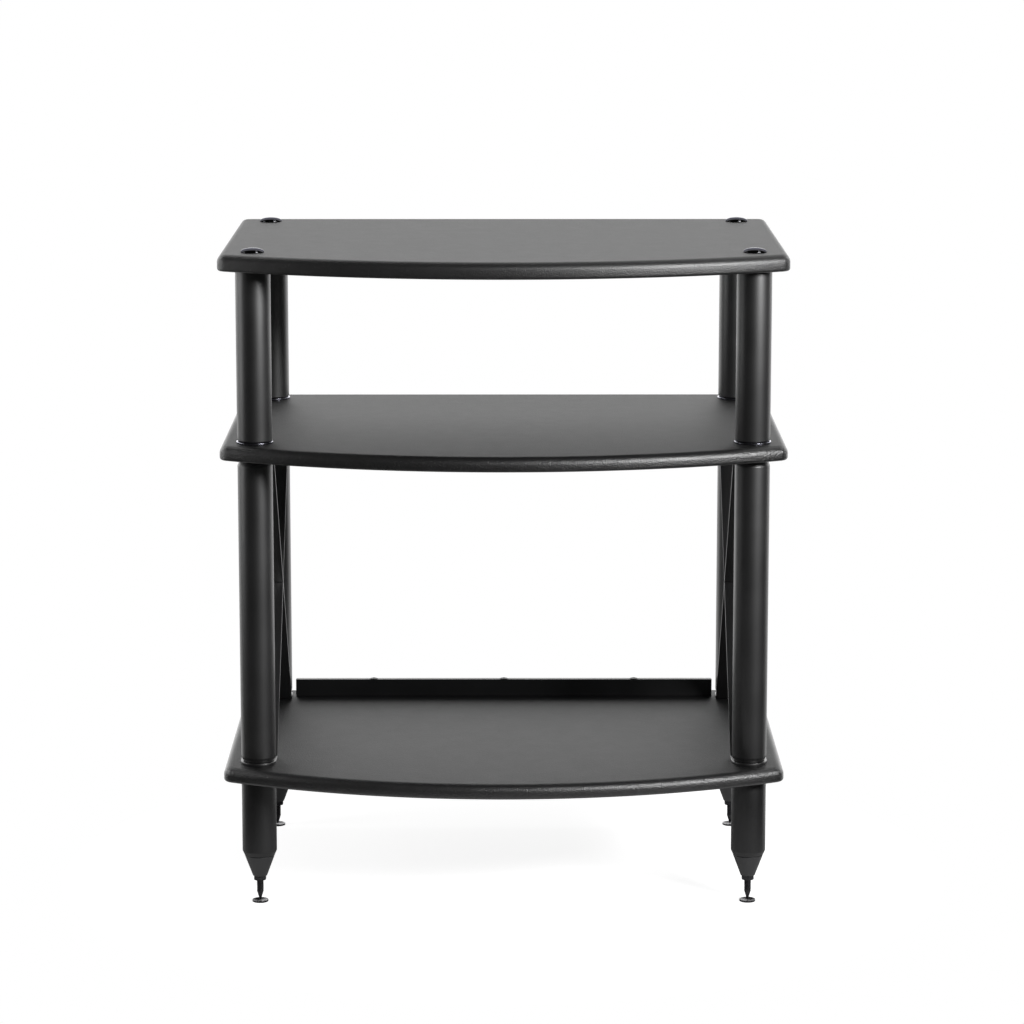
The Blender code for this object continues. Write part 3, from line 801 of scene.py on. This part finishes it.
@dataclass
class PostRings:
    """The polished rings under the upper posts."""

    bore: float = 0.0045
    rounding: float = 0.0006
    rounding_steps: int = 6
    sides: int = 96

    def ring(self, node: str) -> Shape:
        """Model a flat ring with a rounded rim.

        Args:
            node: The CAD node that gives its size and place.

        Returns:
            The shape, in place.
        """
        radius, height = size_of(node)
        section = [(radius, height), (radius, 0.0), (self.bore, 0.0), (self.bore, height)]
        bm = turned(section, self.sides, closed=True)
        ease(bm, self.rounding, self.rounding_steps, outside(radius / 2))
        return at_node(bm, node)

    def build(self) -> None:
        """Add a ring under each upper post."""
        dark, light = (0.26, 0.26, 0.30), (0.34, 0.34, 0.39)
        polish = BrightMetal("polished_ring", dark, light, roughness=0.20).material()
        for corner in Corner:
            node = f"post_ring_{corner.value}"
            add_piece(f"{node}_band", self.ring(node), polish, node)


@dataclass
class DomeBolts:
    """The dome headed bolts in the top shelf."""

    head_height: float = 0.005
    rim: float = 0.0010
    shank: float = 0.004
    dome_steps: int = 20
    sides: int = 64

    def dome(self, radius: float, rise: float, base: float) -> Section:
        """Draw a flattened dome's section: a quarter circle from the crown to the rim, pressed down.

        Args:
            radius: Radius of the head.
            rise: Height of the crown above the rim.
            base: Height of the rim.

        Returns:
            The section's points as (radius, height).
        """
        bm = bmesh.new()
        crown = bm.verts.new((0.0, 0.0, radius))
        bmesh.ops.spin(
            bm,
            geom=[crown],
            cent=ORIGIN,
            axis=(0.0, 1.0, 0.0),
            angle=QUARTER_TURN,
            steps=self.dome_steps,
            use_duplicate=False,
        )
        bmesh.ops.scale(bm, vec=(1.0, 1.0, rise / radius), verts=bm.verts)
        points = [(vert.co.x, vert.co.z + base) for vert in bm.verts]
        bm.free()
        return points

    def bolt(self, node: str) -> Shape:
        """Model a bolt with a domed head and a plain shank.

        Args:
            node: The CAD node that gives its size and place.

        Returns:
            The shape, in place.
        """
        radius, reach = size_of(node)
        base = reach - self.head_height
        arc = self.dome(radius, self.head_height - self.rim, base + self.rim)
        section = arc + [(radius, base), (self.shank, base), (self.shank, 0.0), (0.0, 0.0)]
        return at_node(turned(section, self.sides, closed=False), node)

    def build(self) -> None:
        """Add a bolt over each post."""
        plating = GlossBlack().material()
        for corner in Corner:
            node = f"dome_bolt_{corner.value}"
            add_piece(f"{node}_head", self.bolt(node), plating, node)


@dataclass
class Braces:
    """The crossed strips on the two sides."""

    rounding: float = 0.00035
    rounding_steps: int = 2

    def build(self) -> None:
        """Add two strips on each side."""
        coat = TextureCoat("black_strip", roughness=0.40, grain_depth=0.00001).material()
        for side in ("left", "right"):
            for lean in ("back", "front"):
                node = f"{side}_brace_rising_{lean}"
                strip = copied(node)
                ease(strip, self.rounding, self.rounding_steps, anywhere)
                add_piece(f"{node}_strip", strip, coat, node)


@dataclass
class RecordStop:
    """The low bar at the back of the bottom shelf, with its screws.

    The shoulder of a screw's head is given in shares of the head's radius and of its height below the crown.
    """

    socket_radius: float = 0.0015
    socket_depth: float = 0.0013
    crown_share: float = 1.35
    shoulder: tuple[Pair, Pair] = ((0.72, 0.28), (0.92, 0.62))
    shank: float = 0.002
    head_height: float = 0.0008
    sides: int = 48

    def screw(self, node: str) -> Shape:
        """Model a screw with a button head and a round socket.

        Args:
            node: The CAD node that gives its size and place.

        Returns:
            The shape, in place.
        """
        radius, reach = size_of(node)
        base = reach - self.head_height
        crown = self.socket_radius * self.crown_share
        shoulder = [(radius * across, reach - self.head_height * down) for across, down in self.shoulder]
        foot = [(radius, base), (self.shank, base), (self.shank, 0.0), (0.0, 0.0)]
        bm = turned([(0.0, reach), (crown, reach), *shoulder, *foot], self.sides, closed=False)
        bmesh.ops.dissolve_faces(bm, faces=self.crown_faces(bm, reach))
        margin = crown - self.socket_radius
        bmesh.ops.inset_region(bm, faces=self.crown_faces(bm, reach), thickness=margin, use_even_offset=True)
        sunk = [max(self.crown_faces(bm, reach), key=lambda face: len(face.verts))]
        moved = bmesh.ops.extrude_face_region(bm, geom=sunk)
        verts = [item for item in moved["geom"] if isinstance(item, bmesh.types.BMVert)]
        bmesh.ops.translate(bm, verts=verts, vec=(0.0, 0.0, -self.socket_depth))
        bmesh.ops.delete(bm, geom=sunk, context="FACES_ONLY")
        return at_node(bm, node)

    @staticmethod
    def crown_faces(bm: Shape, reach: float) -> list[bmesh.types.BMFace]:
        """Return the faces at the top of a screw's head."""
        return [face for face in bm.faces if face.calc_center_median().z > reach - MERGE_DISTANCE]

    def build(self) -> None:
        """Add the bar and its three screws."""
        dark, light = (0.003, 0.003, 0.0034), (0.004, 0.004, 0.0046)
        coat = TextureCoat("black_stop", dark, light, gloss=0.25).material()
        add_piece("record_stop_bar", copied("record_stop"), coat, "record_stop")
        for place in ("left", "middle", "right"):
            node = f"record_stop_screw_{place}"
            add_piece(f"{node}_head", self.screw(node), coat, node)


@dataclass
class Feet:
    """The cones, jam nuts, spikes and floor discs."""

    sides: int = 64
    rounding_steps: int = 4
    spigot: float = 0.018
    spigot_step: float = 0.0009
    cone_height: float = 0.024
    cone_top: float = 0.01675
    cone_bottom: float = 0.0078
    cone_rounding: float = 0.0007
    bore_margin: float = 0.001
    thread_bore: float = 0.0043
    thread_crest: float = 0.0039
    thread_root: float = 0.0035
    thread_sides: int = 32
    pitch: float = 0.00125
    ridge_sink: float = 0.0002
    ridge_share: float = 0.42
    crest_share: float = 0.15
    plain_end: float = 0.004
    end_chamfer: float = 0.0006
    taper: float = 0.0109
    collar_step: float = 0.0002
    collar_foot: float = 0.0004
    collar_head: float = 0.0006
    thread_start: float = 0.0012
    tip: float = 0.0005
    disc_floor: float = 0.0010
    disc_floor_radius: float = 0.0060
    disc_rim: float = 0.0012
    disc_rounding: float = 0.0003

    def cone(self, node: str) -> Shape:
        """Model a cone with its spigot and bore.

        Args:
            node: The CAD node that gives its place.

        Returns:
            The shape, in place.
        """
        total = self.cone_height + self.spigot
        section = [
            (self.cone_top - self.spigot_step, total),
            (self.cone_top - self.spigot_step, self.cone_height),
            (self.cone_top, self.cone_height),
            (self.cone_bottom, 0.0),
            (self.thread_bore, 0.0),
            (self.thread_bore, total),
        ]
        bm = turned(section, self.sides, closed=True)
        ease(bm, self.cone_rounding, self.rounding_steps, outside(self.thread_bore + self.bore_margin))
        return at_node(bm, node)

    def spike(self, node: str) -> Shape:
        """Model a pointed stud with a collar above its taper and a helical thread.

        Args:
            node: The CAD node that gives its length and place.

        Returns:
            The shape, in place.
        """
        length = size_of(node)[1]
        collar = self.thread_crest - self.collar_step
        section = [
            (0.0, length),
            (self.thread_root - self.end_chamfer, length),
            (self.thread_root, length - self.end_chamfer),
            (self.thread_root, self.taper + self.thread_start),
            (collar, self.taper + self.collar_head),
            (collar, self.taper - self.collar_foot),
            (self.tip, 0.0),
            (0.0, 0.0),
        ]
        bm = turned(section, self.sides, closed=False)
        turns = int((length - self.taper - self.plain_end) / self.pitch)
        self.add_thread(bm, self.taper + self.thread_start, turns)
        return at_node(bm, node)

    def add_thread(self, bm: Shape, start: float, turns: int) -> None:
        """Wind a ridge round the stud.

        Args:
            bm: The stud.
            start: Height where the ridge starts.
            turns: Number of its turns.
        """
        inner = self.thread_root - self.ridge_sink
        half = self.pitch * self.ridge_share
        crest = half * self.crest_share
        corners = ((inner, -half), (self.thread_crest, -crest), (self.thread_crest, crest), (inner, half))
        verts = [bm.verts.new((radius, 0.0, start + half + height)) for radius, height in corners]
        bmesh.ops.spin(
            bm,
            geom=[bm.faces.new(verts)],
            cent=ORIGIN,
            axis=UP,
            dvec=(0.0, 0.0, self.pitch / self.thread_sides),
            angle=FULL_TURN * turns,
            steps=self.thread_sides * turns,
            use_duplicate=False,
        )
        bmesh.ops.recalc_face_normals(bm, faces=bm.faces)

    def disc(self, node: str) -> Shape:
        """Model a dished floor disc.

        Args:
            node: The CAD node that gives its size and place.

        Returns:
            The shape, in place.
        """
        radius, height = size_of(node)
        section = [
            (0.0, self.disc_floor),
            (self.disc_floor_radius, self.disc_floor),
            (radius - self.disc_rim, height),
            (radius, height),
            (radius, 0.0),
            (0.0, 0.0),
        ]
        bm = turned(section, self.sides, closed=False)
        ease(bm, self.disc_rounding, self.rounding_steps, outside(radius - self.disc_rim / 2))
        return at_node(bm, node)

    def build(self) -> None:
        """Add the four feet."""
        dark, light = (0.0054, 0.0054, 0.0068), (0.0082, 0.0082, 0.0100)
        coat = TextureCoat("black_cone", dark, light, gloss=0.7).material()
        steel = BlackenedSteel().material()
        for corner in Corner:
            spot = corner.value
            cone, nut = f"foot_cone_{spot}", f"jam_nut_{spot}"
            spike, disc = f"spike_{spot}", f"floor_disc_{spot}"
            add_piece(f"{cone}_body", self.cone(cone), coat, cone)
            add_piece(f"{nut}_body", copied(nut), steel, nut, f"nut_{spot}")
            add_piece(f"{spike}_stud", self.spike(spike), steel, spike, f"screw_{spot}")
            add_piece(f"{disc}_dish", self.disc(disc), steel, disc, f"disc_{spot}")


@dataclass
class HiddenStuds:
    """The plated studs inside the posts, which stay as the frame gives them."""

    dark: Triple = (0.42, 0.42, 0.44)
    light: Triple = (0.55, 0.55, 0.57)
    roughness: float = 0.28

    def build(self) -> None:
        """Give the studs their finish."""
        plate = BrightMetal("zinc_stud", self.dark, self.light, self.roughness).material()
        for level in ("middle", "bottom"):
            for corner in Corner:
                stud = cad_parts[f"{level}_stud_{corner.value}"]
                stud.data.materials.clear()
                stud.data.materials.append(plate)


@dataclass(frozen=True)
class SoftLamp:
    """A rectangular lamp.

    The place and the point that it faces are in metres, the size is its width and height, and the power is in
    watts.
    """

    name: str
    place: Triple
    aim: Triple
    size: Pair
    power: float

    def build(self) -> None:
        """Add the lamp."""
        lamp = bpy.data.lights.new(self.name, "AREA")
        lamp.shape = "RECTANGLE"
        lamp.size, lamp.size_y = self.size
        lamp.energy = self.power
        holder = bpy.data.objects.new(self.name, lamp)
        holder.location = self.place
        holder.rotation_euler = (Vector(self.aim) - Vector(self.place)).to_track_quat("-Z", "Y").to_euler()
        holder.visible_camera = False
        bpy.context.scene.collection.objects.link(holder)


@dataclass(frozen=True)
class FarLight:
    """A small far light.

    It is given by the direction from the stand towards it, its width as an angle and its strength in watts a
    square metre.
    """

    name: str
    towards: Triple
    angle: float
    strength: float

    def build(self) -> None:
        """Add the light."""
        lamp = bpy.data.lights.new(self.name, "SUN")
        lamp.angle = self.angle
        lamp.energy = self.strength
        holder = bpy.data.objects.new(self.name, lamp)
        holder.rotation_euler = Vector(self.towards).to_track_quat("Z", "Y").to_euler()
        bpy.context.scene.collection.objects.link(holder)


@dataclass
class Surroundings:
    """What lies round the stand: white for the camera and behind the stand, dim in front of it.

    A range is given in the part of a direction along Y or Z, from -1 to 1.
    """

    diffuse_level: float = 0.2
    front_level: float = 0.02
    back_level: float = 2.3
    behind_range: Pair = (0.26, 0.70)
    overhead_range: Pair = (0.58, 0.95)
    overhead_share: float = 0.05
    below_range: Pair = (-0.20, 0.08)
    below_share: float = 0.5

    def build(self) -> None:
        """Make the world."""
        world = bpy.data.worlds.new("studio")
        bpy.context.scene.world = world
        world.use_nodes = True
        graph = Graph(world.node_tree)
        parts = graph.nodes.new("ShaderNodeSeparateXYZ")
        graph.links.new(graph.nodes.new("ShaderNodeTexCoord").outputs["Generated"], parts.inputs["Vector"])
        height = parts.outputs["Z"]
        behind = graph.ramp(parts.outputs["Y"], self.behind_range, (0.0, 1.0), Course.SMOOTH)
        overhead = graph.ramp(height, self.overhead_range, (1.0, self.overhead_share), Course.SMOOTH)
        below = graph.ramp(height, self.below_range, (self.below_share, 1.0), Course.SMOOTH)
        band = graph.combined(Operation.MULTIPLY, overhead, below)
        glow = graph.combined(Operation.MULTIPLY, behind, band)
        mirrored = graph.ramp(glow, (0.0, 1.0), (self.front_level, self.back_level), Course.SMOOTH)
        path = graph.nodes.new("ShaderNodeLightPath")
        reflected = graph.mixed(path.outputs["Is Glossy Ray"], self.diffuse_level, mirrored)
        level = graph.mixed(graph.seen_directly(path), reflected, 1.0)
        background = graph.nodes["Background"]
        background.inputs["Color"].default_value = WHITE
        graph.links.new(level, background.inputs["Strength"])


@dataclass
class Floor:
    """A round pale floor that is white to the camera and keeps the stand's shadow."""

    radius: float = 0.5
    sides: int = 96
    glow: float = 0.85
    tone: float = 0.8
    roughness: float = 0.9

    def build(self) -> None:
        """Add the floor."""
        bm = bmesh.new()
        bmesh.ops.create_circle(bm, cap_ends=True, segments=self.sides, radius=self.radius)
        mesh = bpy.data.meshes.new("floor")
        bm.to_mesh(mesh)
        bm.free()
        mesh.materials.append(self.material())
        floor = bpy.data.objects.new("floor", mesh)
        bpy.context.scene.collection.objects.link(floor)

    def material(self) -> bpy.types.Material:
        """Make the floor's matt finish, which glows only where it is seen directly.

        Returns:
            The material.
        """
        grey = (self.tone, self.tone, self.tone)
        sheet = Sheet("pale_floor", grey, self.roughness, gloss=0.0)
        sheet.shader.inputs["Emission Color"].default_value = WHITE
        direct = sheet.seen_directly(sheet.nodes.new("ShaderNodeLightPath"))
        glow = sheet.ramp(direct, (0.0, 1.0), (0.0, self.glow))
        sheet.links.new(glow, sheet.shader.inputs["Emission Strength"])
        return sheet.material


@dataclass
class Camera:
    """The camera in front of the stand, which looks slightly down."""

    distance: float = 4.119
    height: float = 1.165
    pitch: float = math.radians(10.32)
    yaw: float = math.radians(0.1285)
    focal_pixels: float = 3728.0
    picture_pixels: float = 1024.0
    sensor: float = 36.0
    clip: Pair = (0.05, 100.0)

    def build(self) -> None:
        """Add the camera."""
        data = bpy.data.cameras.new("camera")
        data.sensor_width = self.sensor
        data.lens = self.focal_pixels / self.picture_pixels * self.sensor
        data.clip_start, data.clip_end = self.clip
        camera = bpy.data.objects.new("camera", data)
        camera.location = (0.0, -self.distance, self.height)
        camera.rotation_euler = (QUARTER_TURN - self.pitch, 0.0, -self.yaw)
        bpy.context.scene.collection.objects.link(camera)
        bpy.context.scene.camera = camera


@dataclass
class Stage:
    """The surroundings, the floor, the lights and the camera.

    The key lamp stands high on the right, the fill stands on the left, and the dot is a small far light
    overhead, behind the stand.
    """

    key: SoftLamp = SoftLamp("key", (1.69, -1.83, 1.37), (0.1, 0.0, 1.37), (1.0, 0.43), 46.0)
    fill: SoftLamp = SoftLamp("left_fill", (-1.35, -0.13, 0.66), (-0.25, -0.1, 0.5), (0.5, 0.9), 2.2)
    dot: FarLight = FarLight("dot", (0.29, 0.32, 0.90), math.radians(5.0), 0.10)

    def build(self) -> None:
        """Set the stage."""
        bpy.context.scene.view_settings.view_transform = "Standard"
        for part in (Surroundings(), Floor(), self.key, self.fill, self.dot, Camera()):
            part.build()


def main() -> None:
    """Build the stand's looks and the stage."""
    logging.basicConfig(level=logging.INFO, format="%(name)s: %(message)s")
    assemblies = (
        Shelves(),
        Posts(),
        PostRings(),
        DomeBolts(),
        Braces(),
        RecordStop(),
        Feet(),
        HiddenStuds(),
        Stage(),
    )
    for assembly in assemblies:
        assembly.build()


if __name__ == "__main__":
    main()
